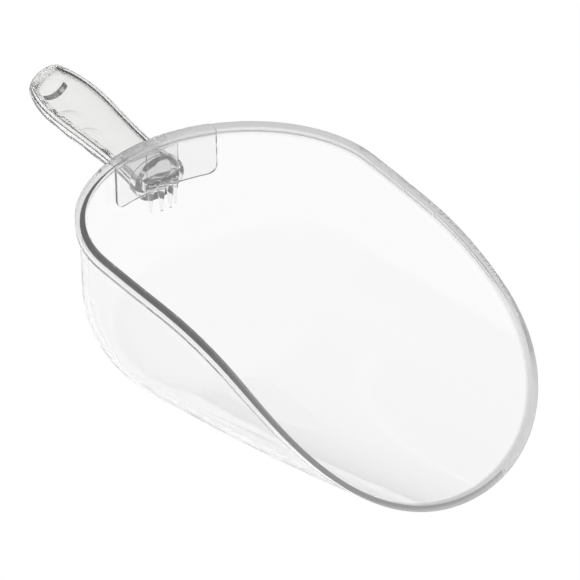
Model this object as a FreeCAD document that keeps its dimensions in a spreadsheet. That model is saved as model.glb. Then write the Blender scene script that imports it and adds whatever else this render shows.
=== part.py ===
import FreeCAD, Part

import os
import re

from FreeCAD import Placement, Rotation, Vector

# A clear polycarbonate ice scoop.
#
# Frame, in millimetres: +X runs forward to the lip, +Y is to the left and +Z is up.  The
# origin is on the small flat that the bowl stands on, below the bowl's widest point.
#
# The bowl is one moulding.  Seen from above it is half an ellipse at the back and a long half
# ellipse at the front, joined at the widest point.  Below the side line it curves under as
# quarter ellipsoids, and above it the walls stand upright.  The rim is a sloping plane that
# runs into one large arc, which sweeps down to the lip.  The hollow handle leaves the back
# wall just below the rim and is closed by an end plug.  A plate bonded inside the back wall
# and a ribbed bracket on it carry the handle's load.

DIMENSIONS = [
    ("back_reach", 62.0, "from the back wall to the widest point of the bowl"),
    ("front_reach", 360.0, "half length of the long front ellipse"),
    ("half_width", 80.0, "half width of the bowl over its walls"),
    ("side_line", 68.0, "height at which the walls turn upright"),
    ("keel_cut", 0.8, "how much of the round underside is cut off flat to stand on"),
    ("bowl_wall", 2.8, "wall thickness of the bowl"),
    ("rim_height", 108.0, "height of the rim at the back wall"),
    ("rim_slope", 11.0, "fall of the straight rim towards the front, in degrees"),
    ("rim_straight", 104.0, "how far forward of the back wall the straight rim runs"),
    ("rim_arc", 180.0, "radius of the arc that sweeps down to the lip"),
    ("bead_out", 2.0, "how far the rim bead stands out from the wall"),
    ("bead_height", 4.0, "height of the rim bead"),
    ("bead_fade", 200.0, "how far forward of the back wall the bead has run out"),
    ("pip_start", 45.0, "first pip under the rim, forward of the back wall"),
    ("pip_pitch", 22.4, "spacing of the pips along each side"),
    ("pip_radius", 0.7, "radius of a pip"),
    ("pip_out", 0.5, "how far a pip stands out of the inner wall"),
    ("plate_width", 60.0, "width of the plate bonded inside the back wall"),
    ("plate_drop", 23.5, "plate's lower edge below the rim"),
    ("plate_corner", 5.0, "radius of the plate's lower corners"),
    ("plate_thick", 1.3, "thickness of the plate"),
    ("cap_thick", 0.4, "thickness of the plate's turned-out top where it covers the rim"),
    ("pad_width", 18.6, "width of the raised pad on the plate"),
    ("pad_thick", 0.8, "how far the pad stands in from the plate"),
    ("pad_drop", 3.0, "top of the pad below the rim"),
    ("boss_radius", 12.3, "radius of the round boss on the plate"),
    ("boss_setback", 4.2, "boss axis behind the back wall"),
    ("boss_drop", 19.5, "boss's lower end below the rim"),
    ("boss_height", 4.0, "height of the boss"),
    ("leg_step", 27.0, "angle between neighbouring legs of the boss, in degrees"),
    ("leg_drop", 33.5, "pointed end of a leg below the rim"),
    ("leg_radius", 2.2, "radius of a leg where it leaves the boss"),
    ("leg_point", 0.6, "radius of a leg at its pointed end"),
    ("knuckle_radius", 5.0, "radius of the round-topped knuckle over the boss"),
    ("knuckle_rise", 7.0, "height of the knuckle's centre over the boss's lower end"),
    ("tongue_thick", 4.4, "thickness of the tongue that joins the bracket to the handle"),
    ("tongue_root", 0.6, "how far the tongue runs into the boss"),
    ("tongue_reach", 16.0, "how far the tongue goes into the hollow handle"),
    ("fit_gap", 0.15, "gap left all round where one piece goes into another"),
    ("handle_drop", 19.2, "handle axis below the rim, at the back wall"),
    ("handle_tilt", 13.4, "rise of the handle towards its end, in degrees"),
    ("handle_length", 85.0, "back wall to the end face, along the handle"),
    ("neck_width", 27.0, "handle width where it leaves the bowl"),
    ("neck_depth", 19.0, "handle depth where it leaves the bowl"),
    ("grip_width", 31.0, "handle width at the grip"),
    ("grip_depth", 20.5, "handle depth at the grip"),
    ("end_width", 22.0, "handle width at its end face"),
    ("end_depth", 19.0, "handle depth at its end face"),
    ("handle_wall", 2.8, "wall thickness of the handle shells"),
    ("collar_out", 1.1, "how far the collar at the handle's root stands out"),
    ("collar_reach", 4.0, "length of the collar, from the back wall"),
    ("seam_height", 2.8, "height of the seam of the two shells above the handle's axis"),
    ("seam_depth", 0.8, "depth of the groove under the seam"),
    ("seam_width", 2.2, "width of that groove"),
    ("finger_start", 40.0, "crest between the first two fingers, from the back wall"),
    ("finger_pitch", 16.0, "spacing of the crests between the fingers"),
    ("finger_depth", 1.1, "depth of a finger hollow on the underside"),
    ("plug_dome", 3.2, "bulge of the end plug"),
    ("plug_spigot", 6.0, "how far the end plug goes into the handle"),
]

LEG_PLACES = (-1.5, -0.5, 0.5, 1.5)
FINGERS = 4
SPARE = 12.0

doc = FreeCAD.newDocument("ice_scoop")
sheet = doc.addObject("Spreadsheet::Sheet", "Dimensions")
for row, (alias, value, meaning) in enumerate(DIMENSIONS, start=1):
    sheet.set(f"A{row}", meaning)
    sheet.set(f"B{row}", str(value))
    sheet.setAlias(f"B{row}", alias)
doc.recompute()


def bind(item, **formulas):
    """Bind properties to formulas, in which a name with an underscore is a cell of the sheet."""
    for name, text in formulas.items():
        linked = re.sub(r"[a-z]+(?:_[a-z]+)+", r"Dimensions.\g<0>", text)
        item.setExpression(name.replace("__", "."), linked)
    return item


def place(item, x="0", y="0", z="0", axis=Vector(0, 0, 1), turn="0"):
    """Put an object at a point and turn it about one axis."""
    item.Placement = Placement(Vector(0, 0, 0), Rotation(axis, 1.0))
    return bind(
        item,
        Placement__Base__x=x,
        Placement__Base__y=y,
        Placement__Base__z=z,
        Placement__Rotation__Angle=turn,
    )


def box(name, length, width, height):
    return bind(doc.addObject("Part::Box", name), Length=length, Width=width, Height=height)


def cylinder(name, radius, height):
    return bind(doc.addObject("Part::Cylinder", name), Radius=radius, Height=height)


def ball(name, radius):
    return bind(doc.addObject("Part::Sphere", name), Radius=radius)


def ellipse(name, across, high):
    """A closed ellipse with its longer semi-axis first."""
    return bind(
        doc.addObject("Part::Ellipse", name),
        MajorRadius=f"max({across}; {high})",
        MinorRadius=f"min({across}; {high})",
    )


def fuse(name, shapes):
    whole = doc.addObject("Part::MultiFuse", name)
    whole.Shapes = shapes
    return whole


def common(name, shapes):
    shared = doc.addObject("Part::MultiCommon", name)
    shared.Shapes = shapes
    return shared


def cut(name, base, tool):
    rest = doc.addObject("Part::Cut", name)
    rest.Base = base
    rest.Tool = tool
    return rest


# ---------------------------------------------------------------- forms of the bowl

BACK_WALL = "(0 - back_reach)"
DEPTH = "(side_line + keel_cut)"
OVER_BEAD = "(half_width + bead_out)"


def quarter_ellipsoid(name, reach, half_width, depth, heading):
    """A quarter of an ellipsoid below the side line, ahead of or behind the widest point."""
    quarter = doc.addObject("Part::Ellipsoid", name)
    quarter.Angle1 = -90
    quarter.Angle2 = 0
    quarter.Angle3 = 180
    bind(quarter, Radius1=depth, Radius2=half_width, Radius3=reach)
    return place(quarter, z="side_line", turn=heading)


def upright_wall(name, reach, half_width, start):
    """Half of the tub above the side line, from x = start for the length of its reach."""
    outline = ellipse(name + "_outline", reach, half_width)
    place(outline, z="side_line", turn=f"{reach} > {half_width} ? 0 : 90")
    height = f"rim_height + {SPARE} - side_line"
    whole = doc.addObject("Part::Extrusion", name + "_whole")
    whole.Base = outline
    whole.DirMode = "Custom"
    whole.Dir = Vector(0, 0, 1)
    whole.Solid = True
    bind(whole, LengthFwd=height)
    half = box(name + "_half", reach, f"2 * {half_width}", height)
    place(half, x=start, y=f"0 - {half_width}", z="side_line")
    return common(name, [whole, half])


def tub(name, back, front, half_width, depth):
    """A closed solid with the bowl's form, larger or smaller as its four sizes say."""
    return fuse(name, [
        quarter_ellipsoid(name + "_back_round", back, half_width, depth, "90"),
        quarter_ellipsoid(name + "_front_round", front, half_width, depth, "-90"),
        upright_wall(name + "_back_wall", back, half_width, f"0 - {back}"),
        upright_wall(name + "_front_wall", front, half_width, "0"),
    ])


def tub_inside(name, inset):
    """The bowl's outer form made smaller all round by an inset."""
    return tub(
        name,
        f"(back_reach - {inset})",
        f"(front_reach - {inset})",
        f"(half_width - {inset})",
        f"({DEPTH} - {inset})",
    )


def bead_tub():
    """The form over the rim bead; its front ellipse meets the bowl's where the bead runs out."""
    fade = "((bead_fade - back_reach) / front_reach)"
    share = f"(half_width / {OVER_BEAD})"
    front = f"((bead_fade - back_reach) / sqrt(1 - {share} ^ 2 * (1 - {fade} ^ 2)))"
    return tub("bead_form", "(back_reach + bead_out)", front, OVER_BEAD, f"({DEPTH} + bead_out)")


def under_rim(name, drop):
    """Everything below the line of the rim, or below a line that lies `drop` under it."""
    span = f"2 * {OVER_BEAD} + {SPARE}"
    side = f"0 - {OVER_BEAD} - {SPARE} / 2"
    deep = "(2 * rim_height)"
    run = f"(rim_straight / cos(rim_slope) + 3 * {SPARE})"
    bend_x = "(rim_straight - back_reach)"
    bend_z = "(rim_height - rim_straight * tan(rim_slope))"
    straight = box(name + "_straight", run, span, f"{deep} - {drop}")
    place(
        straight,
        x=f"{bend_x} - {run} * cos(rim_slope) - {deep} * sin(rim_slope)",
        y=side,
        z=f"{bend_z} + {run} * sin(rim_slope) - {deep} * cos(rim_slope)",
        axis=Vector(0, 1, 0),
        turn="rim_slope",
    )
    sweep = cylinder(name + "_sweep", f"rim_arc - {drop}", span)
    place(
        sweep,
        x=f"{bend_x} - rim_arc * sin(rim_slope)",
        y=side,
        z=f"{bend_z} - rim_arc * cos(rim_slope)",
        axis=Vector(-1, 0, 0),
        turn="90",
    )
    return fuse(name, [straight, sweep])


# ---------------------------------------------------------------- forms of the handle

HANDLE_Z = "(rim_height - handle_drop)"
TILT = Vector(0, 1, 0)
SQUARE_TO_X = Rotation(Vector(1, 1, 1), 120)
ABOVE = f"(grip_depth + {SPARE})"
BELOW = f"(0 - grip_depth - {SPARE})"
BEYOND = f"(handle_length + {SPARE})"


def on_handle(item, out="0", side="0", up="0", axis=TILT, turn="handle_tilt"):
    """Place an object by its distance out along the handle, to one side and above its axis."""
    return place(
        item,
        x=f"{BACK_WALL} - ({out}) * cos(handle_tilt) + ({up}) * sin(handle_tilt)",
        y=side,
        z=f"{HANDLE_Z} + ({out}) * sin(handle_tilt) + ({up}) * cos(handle_tilt)",
        axis=axis,
        turn=turn,
    )


def handle_form(name, inset):
    """The handle's smooth form, from inside the bowl's wall to its end face."""
    stations = [
        (f"0 - {SPARE}", "neck"),
        ("handle_length * 0.12", "neck"),
        ("handle_length * 0.3", "neck"),
        ("handle_length * 0.6", "grip"),
        ("handle_length * 0.84", "grip"),
        ("handle_length", "end"),
    ]
    ovals = []
    for number, (out, part) in enumerate(stations, start=1):
        across = f"({part}_width / 2 - {inset})"
        high = f"({part}_depth / 2 - {inset})"
        oval = ellipse(f"{name}_oval_{number}", across, high)
        oval.Placement = Placement(Vector(0, 0, 0), SQUARE_TO_X)
        ovals.append(bind(oval, Placement__Base__x=f"0 - ({out})"))
    form = doc.addObject("Part::Loft", name)
    form.Sections = ovals
    form.Solid = True
    form.Ruled = False
    return on_handle(form)


def handle_slice(name, near, far, low, high):
    """A block square to the handle, between two distances out and two heights."""
    block = box(name, f"({far}) - ({near})", f"grip_width + 2 * {SPARE}", f"({high}) - ({low})")
    return on_handle(block, out=far, side=f"0 - grip_width / 2 - {SPARE}", up=low)


# ---------------------------------------------------------------- forms that pieces share

outer_form = tub_inside("outer_form", "0")
inner_form = tub_inside("inner_form", "bowl_wall")
liner_form = tub_inside("liner_form", "(bowl_wall + plate_thick)")
pad_form = tub_inside("pad_form", "(bowl_wall + plate_thick + pad_thick)")
bead_form = bead_tub()
rim_form = under_rim("rim_form", "0")
bead_underside = under_rim("bead_underside", "bead_height")
plate_top = under_rim("plate_top", "(0 - cap_thick)")

grip_form = handle_form("grip_form", "0")
hollow_form = handle_form("hollow_form", "handle_wall")
seam_form = handle_form("seam_form", "seam_depth")
collar_form = handle_form("collar_form", "(0 - collar_out)")


def tongue_bar(name, near, far, gap):
    """A flat bar along the handle's axis whose corners just fit the hollow neck."""
    half_width = "(neck_width / 2 - handle_wall - fit_gap)"
    half_depth = "(neck_depth / 2 - handle_wall - fit_gap)"
    share = f"(tongue_thick / 2 / {half_depth})"
    half = f"({half_width} * sqrt(1 - {share} ^ 2) + {gap})"
    bar = box(name, f"({far}) - ({near})", f"2 * {half}", f"tongue_thick + 2 * {gap}")
    return on_handle(bar, out=far, side=f"0 - {half}", up=f"0 - tongue_thick / 2 - {gap}")


slot = tongue_bar("slot", f"0 - {SPARE}", f"{SPARE}", "fit_gap")


# ---------------------------------------------------------------- the pieces

PIP_PLACES = (0, 1, 2, 3)


def rim_pip(number, word, side):
    """A small round pin that stands out of the inner wall just under the sloping rim."""
    forward = f"(pip_start + {number} * pip_pitch)"
    along = f"({forward} - back_reach)"
    reach = f"({along} < 0 ? back_reach - bowl_wall : front_reach - bowl_wall)"
    wall_y = f"((half_width - bowl_wall) * sqrt(1 - ({along} / {reach}) ^ 2))"
    pip = cylinder(f"pip_{word}_{number}", "pip_radius", "pip_out + bowl_wall / 2")
    return place(
        pip,
        x=along,
        y=f"{side} * ({wall_y} - pip_out)",
        z=f"rim_height - {forward} * tan(rim_slope) - 1.5 * pip_radius",
        axis=Vector(-1, 0, 0),
        turn=f"{side} * 90",
    )


def make_bowl():
    """The trough with its rim bead, a flat to stand on and a slot for the bracket's tongue."""
    shell = cut("bowl_shell", outer_form, inner_form)
    trough = common("bowl_trough", [shell, rim_form])
    bead_ring = cut("bead_ring", bead_form, inner_form)
    bead_layer = cut("bead_layer", rim_form, bead_underside)
    bead = common("bead", [bead_ring, bead_layer])
    pips = []
    for number in PIP_PLACES:
        pips.append(rim_pip(number, "left", "1"))
        pips.append(rim_pip(number, "right", "-1"))
    whole = fuse("bowl_whole", [trough, bead] + pips)
    ground = box("ground", "2 * front_reach", f"2 * {OVER_BEAD}", "rim_height")
    place(ground, x="0 - front_reach", y=f"0 - {OVER_BEAD}", z="0 - rim_height")
    standing = cut("bowl_standing", whole, ground)
    return cut("bowl", standing, slot)


def plate_outline():
    """The plate seen from the front: straight sides and rounded lower corners."""
    start = f"{BACK_WALL} - {SPARE}"
    body = box("plate_body", "back_reach", "plate_width", "rim_height")
    place(body, x=start, y="0 - plate_width / 2", z="rim_height - plate_drop + plate_corner")
    sill = box("plate_sill", "back_reach", "plate_width - 2 * plate_corner", "rim_height")
    place(sill, x=start, y="plate_corner - plate_width / 2", z="rim_height - plate_drop")
    shapes = [body, sill]
    for word, side in (("left", 1), ("right", -1)):
        corner = cylinder(f"plate_{word}_corner", "plate_corner", "back_reach")
        across = f"{side} * (plate_width / 2 - plate_corner)"
        up = "rim_height - plate_drop + plate_corner"
        place(corner, x=start, y=across, z=up, axis=Vector(0, 1, 0), turn="90")
        shapes.append(corner)
    return fuse("plate_outline", shapes)


def make_back_plate():
    """The plate lines the back wall, and its top turns out over the rim to the bead's edge."""
    lining = common("plate_lining", [cut("plate_skin", inner_form, liner_form), rim_form])
    cap_layer = cut("plate_cap_layer", plate_top, rim_form)
    cap_ring = cut("plate_cap_ring", bead_form, liner_form)
    cap = common("plate_cap", [cap_layer, cap_ring])
    blank = common("plate_blank", [fuse("plate_sheet", [lining, cap]), plate_outline()])
    return cut("back_plate", blank, slot)


def bracket_leg(number, steps, boss_x):
    """One pointed leg, `steps` places round the boss from its front."""
    leg = doc.addObject("Part::Cone", f"leg_{number}")
    bind(leg, Radius1="leg_point", Radius2="leg_radius", Height="leg_drop - boss_drop")
    ring = "(boss_radius - leg_radius / 2)"
    angle = f"({steps} * leg_step)"
    leg_x = f"{boss_x} + {ring} * cos{angle}"
    return place(leg, x=leg_x, y=f"{ring} * sin{angle}", z="rim_height - leg_drop")


def make_root_bracket():
    """A pad, a boss with a knuckle and four legs, and a tongue that enters the handle."""
    boss_x = f"({BACK_WALL} - boss_setback)"
    knuckle_x = f"{boss_x} + boss_radius - knuckle_radius"
    boss = cylinder("boss", "boss_radius", "boss_height")
    place(boss, x=boss_x, z="rim_height - boss_drop")
    stem = cylinder("knuckle_stem", "knuckle_radius", "knuckle_rise")
    place(stem, x=knuckle_x, z="rim_height - boss_drop")
    crown = ball("knuckle_crown", "knuckle_radius")
    place(crown, x=knuckle_x, z="rim_height - boss_drop + knuckle_rise")
    solids = [boss, stem, crown]
    for number, steps in enumerate(LEG_PLACES, start=1):
        solids.append(bracket_leg(number, steps, boss_x))
    shapes = []
    for solid in solids:
        shapes.append(common(solid.Label + "_on_plate", [solid, liner_form]))
    pad_block = box("pad_block", "back_reach", "pad_width", "boss_drop - pad_drop")
    place(pad_block, x=BACK_WALL, y="0 - pad_width / 2", z="rim_height - boss_drop")
    shapes.append(common("pad", [cut("pad_skin", liner_form, pad_form), pad_block]))
    inner_end = "0 - bowl_wall - plate_thick - tongue_root"
    shapes.append(tongue_bar("tongue", inner_end, "tongue_reach", "0"))
    return fuse("root_bracket", shapes)


def finger_hollows():
    """Round bars across the underside; each leaves a shallow hollow for one finger."""
    radius = "((finger_pitch ^ 2 / 4 + finger_depth ^ 2) / (2 * finger_depth))"
    bars = []
    for number in range(FINGERS):
        bar = cylinder(f"finger_{number + 1}", radius, f"grip_width + 2 * {SPARE}")
        on_handle(
            bar,
            out=f"finger_start + ({number} - 0.5) * finger_pitch",
            side=f"grip_width / 2 + {SPARE}",
            up=f"finger_depth - grip_depth / 2 - {radius}",
            axis=Vector(1, 0, 0),
            turn="90",
        )
        bars.append(bar)
    return fuse("finger_hollows", bars)


def make_handle():
    """Two shells that meet above the handle's axis, with a collar and a groove at the seam."""
    collar_slice = handle_slice("collar_slice", f"0 - {SPARE}", "collar_reach", BELOW, ABOVE)
    collar = common("collar", [collar_form, collar_slice])
    solid = fuse("handle_solid", [grip_form, collar])
    tube = cut("handle_tube", cut("handle_shell", solid, hollow_form), outer_form)
    groove_slice = handle_slice(
        "groove_slice",
        "collar_reach",
        BEYOND,
        "seam_height - seam_width",
        "seam_height",
    )
    groove = common("groove", [cut("groove_skin", grip_form, seam_form), groove_slice])
    plain = cut("handle_plain", tube, groove)
    upper_half = handle_slice("upper_half", f"0 - {SPARE}", BEYOND, "seam_height", ABOVE)
    lower_half = handle_slice("lower_half", f"0 - {SPARE}", BEYOND, BELOW, "seam_height")
    top = common("handle_top", [plain, upper_half])
    bottom_blank = common("handle_bottom_blank", [plain, lower_half])
    return top, cut("handle_bottom", bottom_blank, finger_hollows())


def make_handle_end():
    """A domed plug that closes the end of the handle, with a spigot inside the two shells."""
    dome = doc.addObject("Part::Ellipsoid", "plug_dome_form")
    dome.Angle1 = 0
    dome.Angle2 = 90
    dome.Angle3 = 360
    bind(dome, Radius1="plug_dome", Radius2="end_width / 2", Radius3="end_depth / 2")
    outwards = Rotation(Vector(0, 1, 0), Vector(0, 0, -1), Vector(-1, 0, 0))
    dome.Placement = Placement(Vector(0, 0, 0), outwards)
    across = "(end_width / 2 - handle_wall - fit_gap)"
    high = "(end_depth / 2 - handle_wall - fit_gap)"
    oval = ellipse("spigot_oval", across, high)
    oval.Placement = Placement(Vector(0, 0, 0), SQUARE_TO_X)
    spigot = doc.addObject("Part::Extrusion", "plug_spigot_form")
    spigot.Base = oval
    spigot.DirMode = "Custom"
    spigot.Dir = Vector(1, 0, 0)
    spigot.Solid = True
    bind(spigot, LengthFwd="plug_spigot")
    return on_handle(fuse("handle_end", [dome, spigot]), out="handle_length")


bowl = make_bowl()
back_plate = make_back_plate()
root_bracket = make_root_bracket()
handle_top, handle_bottom = make_handle()
handle_end = make_handle_end()
pieces = [bowl, back_plate, root_bracket, handle_top, handle_bottom, handle_end]
doc.recompute()


# ---------------------------------------------------------------- checks and files

for item in doc.Objects:
    if "Invalid" in item.State or "Error" in item.State:
        raise RuntimeError(f"{item.Name} failed: {item.State}")

for piece in pieces:
    if piece.Shape.isNull() or not piece.Shape.isValid():
        raise RuntimeError(f"{piece.Label} has no valid shape")
    if len(piece.Shape.Solids) != 1:
        raise RuntimeError(f"{piece.Label} is {len(piece.Shape.Solids)} solids")

os.makedirs("parts", exist_ok=True)
for piece in pieces:
    piece.Shape.exportStep(f"parts/{piece.Label}.step")
    print(f"{piece.Label}: {piece.Shape.Volume / 1000:.2f} cm3")
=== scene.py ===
import math

import bpy
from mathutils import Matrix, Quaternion, Vector


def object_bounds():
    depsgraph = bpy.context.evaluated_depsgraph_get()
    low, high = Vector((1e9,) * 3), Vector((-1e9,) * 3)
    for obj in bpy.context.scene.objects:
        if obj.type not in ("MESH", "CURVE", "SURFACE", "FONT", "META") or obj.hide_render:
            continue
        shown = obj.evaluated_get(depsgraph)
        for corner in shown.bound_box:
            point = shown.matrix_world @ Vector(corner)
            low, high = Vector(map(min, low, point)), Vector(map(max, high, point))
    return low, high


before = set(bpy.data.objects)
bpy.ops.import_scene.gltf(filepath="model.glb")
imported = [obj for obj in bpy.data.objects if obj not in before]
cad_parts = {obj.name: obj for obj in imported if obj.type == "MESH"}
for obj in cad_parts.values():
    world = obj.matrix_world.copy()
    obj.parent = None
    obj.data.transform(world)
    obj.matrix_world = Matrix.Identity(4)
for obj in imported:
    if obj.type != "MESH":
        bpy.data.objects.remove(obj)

CAD_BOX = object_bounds()
WHITE = (1.0, 1.0, 1.0, 1.0)

# The bowl's side outline, as in the CAD: a sloping rim, then an arc down to the lip.
BACK_REACH = 0.062
RIM_HEIGHT = 0.108
RIM_ANGLE = math.radians(11.0)
RIM_STRAIGHT = 0.104
RIM_ARC_RADIUS = 0.180

# The rim's line, worked out from those sizes.
RIM_SLOPE = math.tan(RIM_ANGLE)
RIM_AT_ORIGIN = RIM_HEIGHT - BACK_REACH * RIM_SLOPE
RIM_ARC_START = RIM_STRAIGHT * math.cos(RIM_ANGLE) - BACK_REACH
ARC_START_HEIGHT = RIM_HEIGHT - RIM_STRAIGHT * math.sin(RIM_ANGLE)
ARC_CENTRE_X = RIM_ARC_START - RIM_ARC_RADIUS * math.sin(RIM_ANGLE)
ARC_CENTRE_Z = ARC_START_HEIGHT - RIM_ARC_RADIUS * math.cos(RIM_ANGLE)

# The pale band along the rim, painted light: its depth, and the share of glowing satin skin in
# it.
PALE_BAND = 0.005
PALE_BAND_FULL = 0.001
RIM_GLOW_LEAST = 0.18
RIM_GLOW_MOST = 0.55

# The darker band along the rim's -Y side, painted shade: a grey tint and a higher index there
# show as a dark line.
SHADE_BAND = 0.0025
SHADE_BAND_FULL = 0.00075
PAINTED_SHADE_TINT = (0.86, 0.86, 0.86, 1.0)
SHADE_ROUGHNESS = 0.05

# Where the rim turns pale with painted light: toward the lip, and from the -Y side to the +Y
# side, where the painted shade also fades.
LIP_FROM = 0.06
LIP_TO = 0.14
SIDE_FROM = -0.04
SIDE_TO = 0.03

# Each plastic: its tint; its roughness; the waviness of its surface; the roughness added by
# scuffs; its index of refraction; and its share of glowing satin skin, which is painted light.
# The index is lower than polycarbonate's own, which would turn every edge too dark.
PLASTICS = {
    "bowl_plastic": dict(
        tint=(0.985, 0.980, 0.985, 1.0), haze=0.02, wave=0.10, scuffs=0.10, bend=1.22, glow_share=0.03),
    "plate_plastic": dict(
        tint=(0.975, 0.970, 0.975, 1.0), haze=0.03, wave=0.05, scuffs=0.05, bend=1.25, glow_share=0.05),
    "bracket_plastic": dict(
        tint=(0.95, 0.945, 0.95, 1.0), haze=0.04, wave=0.05, scuffs=0.05, bend=1.20, glow_share=0.06),
    "handle_plastic": dict(
        tint=(0.985, 0.985, 0.98, 1.0), haze=0.03, wave=0.12, scuffs=0.12, bend=1.27, glow_share=0.05),
}
NODE_PLASTICS = {
    "bowl": "bowl_plastic",
    "back_plate": "plate_plastic",
    "root_bracket": "bracket_plastic",
    "handle_top": "handle_plastic",
    "handle_bottom": "handle_plastic",
    "handle_end": "handle_plastic",
}
POLYCARBONATE_INDEX = 1.585
EDGE_ROUNDING = 0.0005
EDGE_SAMPLES = 4

# The surface's texture: sizes in metres, and the part of the noise that counts.
NOISE_LOW = 0.3
NOISE_HIGH = 0.7
WAVE_SIZE = 0.045
WAVE_HEIGHT = 0.0012
GRAIN_SIZE = 0.0016
HAZE_SPREAD = 0.4
SCRATCHES_PER_METRE = (60.0, 900.0, 400.0)
SCRATCH_START = 0.66
SCRATCH_END = 0.74

# The satin skin, which glows: painted light standing in for light carried in the plastic.
PAINTED_GLOW_COLOUR = (0.90, 0.90, 0.91, 1.0)
SKIN_ROUGHNESS = 0.4
SKIN_GLOW = 0.30

# The white sweep: its own light, and how much of the room's light it sends back.
FLOOR_HALF = 6.0
FLOOR_GAP = 0.0005
FLOOR_ROUGHNESS = 0.9
FLOOR_GLOW = 1.0
FLOOR_SHADE = 0.02
MOTTLE_SIZE = 0.4
MOTTLE_SPREAD = 0.02

# The room: a little dimmer low down than overhead, with a weak wide key light.
SKY_LOW = 0.92
SKY_HIGH = 1.0
SKY_FULL_AT = 0.9
KEY_PLACE = Vector((-0.6, 0.9, 2.0))
KEY_SIZE = 2.5
KEY_POWER = 3.0

# The view: a long lens, from ahead, to the -Y side and above.
VIEW_TARGET = Vector((0.05834, -0.01724, 0.08165))
VIEW_AZIMUTH = math.radians(-38.457)
VIEW_ELEVATION = math.radians(27.541)
VIEW_ROLL = math.radians(-1.556)
VIEW_DISTANCE = 3.1464
LENS = 427.07
SENSOR = 36.0
CLIP_END = 50.0


# ---------------------------------------------------------------- node helpers

def new_material(name):
    material = bpy.data.materials.new(name)
    material.use_nodes = True
    material.node_tree.nodes.clear()
    return material, material.node_tree.nodes, material.node_tree.links


def add(nodes, kind, **inputs):
    """Add a node and set its inputs by name, with spaces written as underscores."""
    node = nodes.new(kind)
    for name, value in inputs.items():
        node.inputs[name.replace("_", " ")].default_value = value
    return node


def noise(nodes, links, place, size, detail=2.0):
    """Object-space noise of a size given in metres."""
    texture = add(nodes, "ShaderNodeTexNoise", Scale=1.0 / size, Detail=detail, Roughness=0.5)
    links.new(place.outputs["Object"], texture.inputs["Vector"])
    return texture.outputs["Fac"]


def remap(nodes, links, source, start, end, low=0.0, high=1.0, smooth=False):
    """Map a value that runs from start to end onto low to high."""
    ramp = add(nodes, "ShaderNodeMapRange", From_Min=start, From_Max=end, To_Min=low, To_Max=high)
    if smooth:
        ramp.interpolation_type = "SMOOTHSTEP"
    links.new(source, ramp.inputs["Value"])
    return ramp.outputs["Result"]


def calculate(nodes, links, operation, *values):
    """A math node fed with sockets or plain numbers."""
    node = nodes.new("ShaderNodeMath")
    node.operation = operation
    for socket, value in zip(node.inputs, values):
        if isinstance(value, float):
            socket.default_value = value
        else:
            links.new(value, socket)
    return node.outputs["Value"]


def mix(nodes, links, share, first, second):
    """Mix two shaders; the share of the second is a plain number or a socket."""
    node = nodes.new("ShaderNodeMixShader")
    if isinstance(share, float):
        node.inputs["Fac"].default_value = share
    else:
        links.new(share, node.inputs["Fac"])
    links.new(first, node.inputs[1])
    links.new(second, node.inputs[2])
    return node.outputs["Shader"]


# ---------------------------------------------------------------- materials

def painted_glow_skin(nodes):
    """A pale satin surface that glows: painted light, standing in for light carried in the
    plastic.
    """
    satin = add(
        nodes,
        "ShaderNodeBsdfPrincipled",
        Base_Color=PAINTED_GLOW_COLOUR,
        Roughness=SKIN_ROUGHNESS,
        IOR=POLYCARBONATE_INDEX,
        Emission_Color=WHITE,
        Emission_Strength=SKIN_GLOW,
    )
    return satin.outputs["BSDF"]


def scuffed_roughness(nodes, links, place, haze, scuffs):
    """A fine grain of roughness, with rougher scratch marks."""
    mapping = add(nodes, "ShaderNodeMapping", Scale=SCRATCHES_PER_METRE)
    links.new(place.outputs["Object"], mapping.inputs["Vector"])
    scratch = add(nodes, "ShaderNodeTexNoise", Scale=1.0, Detail=2.0)
    links.new(mapping.outputs["Vector"], scratch.inputs["Vector"])
    marks = remap(nodes, links, scratch.outputs["Fac"], SCRATCH_START, SCRATCH_END)
    low = haze * (1.0 - HAZE_SPREAD)
    high = haze * (1.0 + HAZE_SPREAD)
    fine = noise(nodes, links, place, GRAIN_SIZE, detail=3.0)
    grain = remap(nodes, links, fine, NOISE_LOW, NOISE_HIGH, low, high)
    return calculate(nodes, links, "MULTIPLY_ADD", marks, scuffs, grain)


def wavy_normal(nodes, links, place, wave):
    """Rounded edges, and the slow waves of a moulded surface."""
    rounding = add(nodes, "ShaderNodeBevel", Radius=EDGE_ROUNDING)
    rounding.samples = EDGE_SAMPLES
    bump = add(nodes, "ShaderNodeBump", Strength=wave, Distance=WAVE_HEIGHT)
    links.new(noise(nodes, links, place, WAVE_SIZE, detail=1.0), bump.inputs["Height"])
    links.new(rounding.outputs["Normal"], bump.inputs["Normal"])
    return bump.outputs["Normal"]


def clear_plastic(name, tint, haze, wave, scuffs, bend, glow_share):
    """Clear plastic under a share of glowing satin skin, which is painted light."""
    material, nodes, links = new_material(name)
    place = nodes.new("ShaderNodeTexCoord")
    clear = add(
        nodes,
        "ShaderNodeBsdfPrincipled",
        Base_Color=tint,
        IOR=bend,
        Transmission_Weight=1.0,
    )
    links.new(scuffed_roughness(nodes, links, place, haze, scuffs), clear.inputs["Roughness"])
    links.new(wavy_normal(nodes, links, place, wave), clear.inputs["Normal"])
    # Painted light: a share of glowing satin laid over the clear plastic.
    with_painted_glow = mix(nodes, links, glow_share, clear.outputs["BSDF"], painted_glow_skin(nodes))
    output = nodes.new("ShaderNodeOutputMaterial")
    links.new(with_painted_glow, output.inputs["Surface"])
    return material


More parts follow.
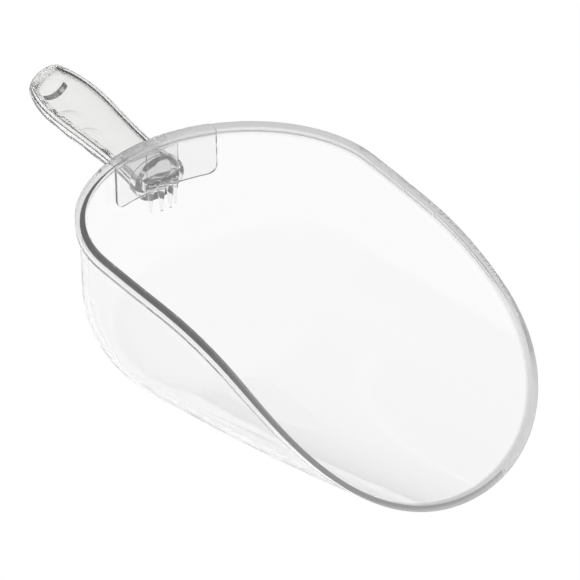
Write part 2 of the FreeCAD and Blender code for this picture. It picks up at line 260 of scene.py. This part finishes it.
def depth_below_rim(nodes, links, x, z):
    """How far a point of the bowl lies below the rim's line."""
    line = calculate(nodes, links, "MULTIPLY_ADD", x, -RIM_SLOPE, RIM_AT_ORIGIN)
    across = calculate(nodes, links, "SUBTRACT", x, ARC_CENTRE_X)
    square = calculate(nodes, links, "MULTIPLY", across, across)
    rest = calculate(nodes, links, "SUBTRACT", RIM_ARC_RADIUS ** 2, square)
    rise = calculate(nodes, links, "SQRT", rest)
    arc = calculate(nodes, links, "ADD", rise, ARC_CENTRE_Z)
    on_arc = calculate(nodes, links, "GREATER_THAN", x, RIM_ARC_START)
    drop = calculate(nodes, links, "SUBTRACT", arc, line)
    rim = calculate(nodes, links, "MULTIPLY_ADD", on_arc, drop, line)
    return calculate(nodes, links, "SUBTRACT", rim, z)


def finish_rim(material):
    """Paint shade into the bowl's rim on its -Y side, and paint light into it toward the lip and
    the +Y side.
    """
    nodes, links = material.node_tree.nodes, material.node_tree.links
    surface = nodes["Material Output"].inputs["Surface"]
    plain = surface.links[0].from_socket
    place = nodes.new("ShaderNodeTexCoord")
    split = nodes.new("ShaderNodeSeparateXYZ")
    links.new(place.outputs["Object"], split.inputs["Vector"])
    x, y, z = split.outputs["X"], split.outputs["Y"], split.outputs["Z"]
    depth = depth_below_rim(nodes, links, x, z)

    # Painted shade: a grey-tinted glass of higher index along the rim's -Y side, seen as a dark
    # line.
    edge = remap(nodes, links, depth, SHADE_BAND, SHADE_BAND_FULL, smooth=True)
    minus_side = remap(nodes, links, y, SIDE_TO, SIDE_FROM, smooth=True)
    shaded_glass = add(
        nodes,
        "ShaderNodeBsdfPrincipled",
        Base_Color=PAINTED_SHADE_TINT,
        Roughness=SHADE_ROUGHNESS,
        IOR=POLYCARBONATE_INDEX,
        Transmission_Weight=1.0,
    )
    painted_shade_share = calculate(nodes, links, "MULTIPLY", edge, minus_side)
    with_painted_shade = mix(nodes, links, painted_shade_share, plain, shaded_glass.outputs["BSDF"])

    # Painted light: glowing satin along the rim, more of it toward the lip and the +Y side.
    band = remap(nodes, links, depth, PALE_BAND, PALE_BAND_FULL, smooth=True)
    lip = remap(nodes, links, x, LIP_FROM, LIP_TO, smooth=True)
    plus_side = remap(nodes, links, y, SIDE_FROM, SIDE_TO, smooth=True)
    paler = calculate(nodes, links, "MAXIMUM", lip, plus_side)
    spread = RIM_GLOW_MOST - RIM_GLOW_LEAST
    rim_glow_share = calculate(nodes, links, "MULTIPLY_ADD", paler, spread, RIM_GLOW_LEAST)
    pale_share = calculate(nodes, links, "MULTIPLY", band, rim_glow_share)
    links.new(mix(nodes, links, pale_share, with_painted_shade, painted_glow_skin(nodes)), surface)


def floor_material():
    """A white sweep lit from within, with the faintest mottle."""
    material, nodes, links = new_material("white_sweep")
    place = nodes.new("ShaderNodeTexCoord")
    mottle = noise(nodes, links, place, MOTTLE_SIZE)
    low = FLOOR_SHADE * (1.0 - MOTTLE_SPREAD)
    high = FLOOR_SHADE * (1.0 + MOTTLE_SPREAD)
    shade = remap(nodes, links, mottle, NOISE_LOW, NOISE_HIGH, low, high)
    colour = nodes.new("ShaderNodeCombineColor")
    for channel in ("Red", "Green", "Blue"):
        links.new(shade, colour.inputs[channel])
    shader = add(
        nodes,
        "ShaderNodeBsdfPrincipled",
        Roughness=FLOOR_ROUGHNESS,
        Emission_Color=WHITE,
        Emission_Strength=FLOOR_GLOW,
    )
    links.new(colour.outputs["Color"], shader.inputs["Base Color"])
    output = nodes.new("ShaderNodeOutputMaterial")
    links.new(shader.outputs["BSDF"], output.inputs["Surface"])
    return material


def dress_nodes():
    """Give every CAD node its plastic."""
    materials = {}
    for name, look in PLASTICS.items():
        materials[name] = clear_plastic(name, **look)
    finish_rim(materials["bowl_plastic"])
    for node_name, plastic in NODE_PLASTICS.items():
        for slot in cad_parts[node_name].material_slots:
            slot.material = materials[plastic]


# ---------------------------------------------------------------- floor, light and camera

def make_floor():
    """A large white sheet under the scoop."""
    corners = []
    for x, y in ((-1, -1), (1, -1), (1, 1), (-1, 1)):
        corners.append((x * FLOOR_HALF, y * FLOOR_HALF, 0.0))
    mesh = bpy.data.meshes.new("floor")
    mesh.from_pydata(corners, [], [(0, 1, 2, 3)])
    floor = bpy.data.objects.new("floor", mesh)
    bpy.context.scene.collection.objects.link(floor)
    floor.location.z = CAD_BOX[0][2] - FLOOR_GAP
    floor.data.materials.append(floor_material())


def make_sky():
    """A soft white room."""
    world = bpy.data.worlds.new("studio")
    world.use_nodes = True
    nodes, links = world.node_tree.nodes, world.node_tree.links
    place = nodes.new("ShaderNodeTexCoord")
    split = nodes.new("ShaderNodeSeparateXYZ")
    links.new(place.outputs["Generated"], split.inputs["Vector"])
    strength = remap(nodes, links, split.outputs["Z"], 0.0, SKY_FULL_AT, SKY_LOW, SKY_HIGH)
    links.new(strength, nodes["Background"].inputs["Strength"])
    bpy.context.scene.world = world


def make_key_light():
    """A weak wide light behind the scoop, aimed at it."""
    light = bpy.data.lights.new("key", "AREA")
    light.shape = "SQUARE"
    light.size = KEY_SIZE
    light.energy = KEY_POWER
    lamp = bpy.data.objects.new("key", light)
    lamp.location = KEY_PLACE
    aim = VIEW_TARGET - KEY_PLACE
    lamp.rotation_euler = aim.to_track_quat("-Z", "Y").to_euler()
    bpy.context.scene.collection.objects.link(lamp)


def make_camera():
    """A camera on a long lens, turned a little about its own axis."""
    level = math.cos(VIEW_ELEVATION)
    back = Vector((
        math.cos(VIEW_AZIMUTH) * level,
        math.sin(VIEW_AZIMUTH) * level,
        math.sin(VIEW_ELEVATION),
    ))
    lens = bpy.data.cameras.new("camera")
    lens.lens = LENS
    lens.sensor_width = SENSOR
    lens.clip_end = CLIP_END
    camera = bpy.data.objects.new("camera", lens)
    camera.location = VIEW_TARGET + back * VIEW_DISTANCE
    camera.rotation_mode = "QUATERNION"
    camera.rotation_quaternion = Quaternion(back, VIEW_ROLL) @ back.to_track_quat("Z", "Y")
    bpy.context.scene.collection.objects.link(camera)
    bpy.context.scene.camera = camera


dress_nodes()
make_floor()
make_sky()
make_key_light()
make_camera()

bpy.context.scene.view_settings.view_transform = "Standard"
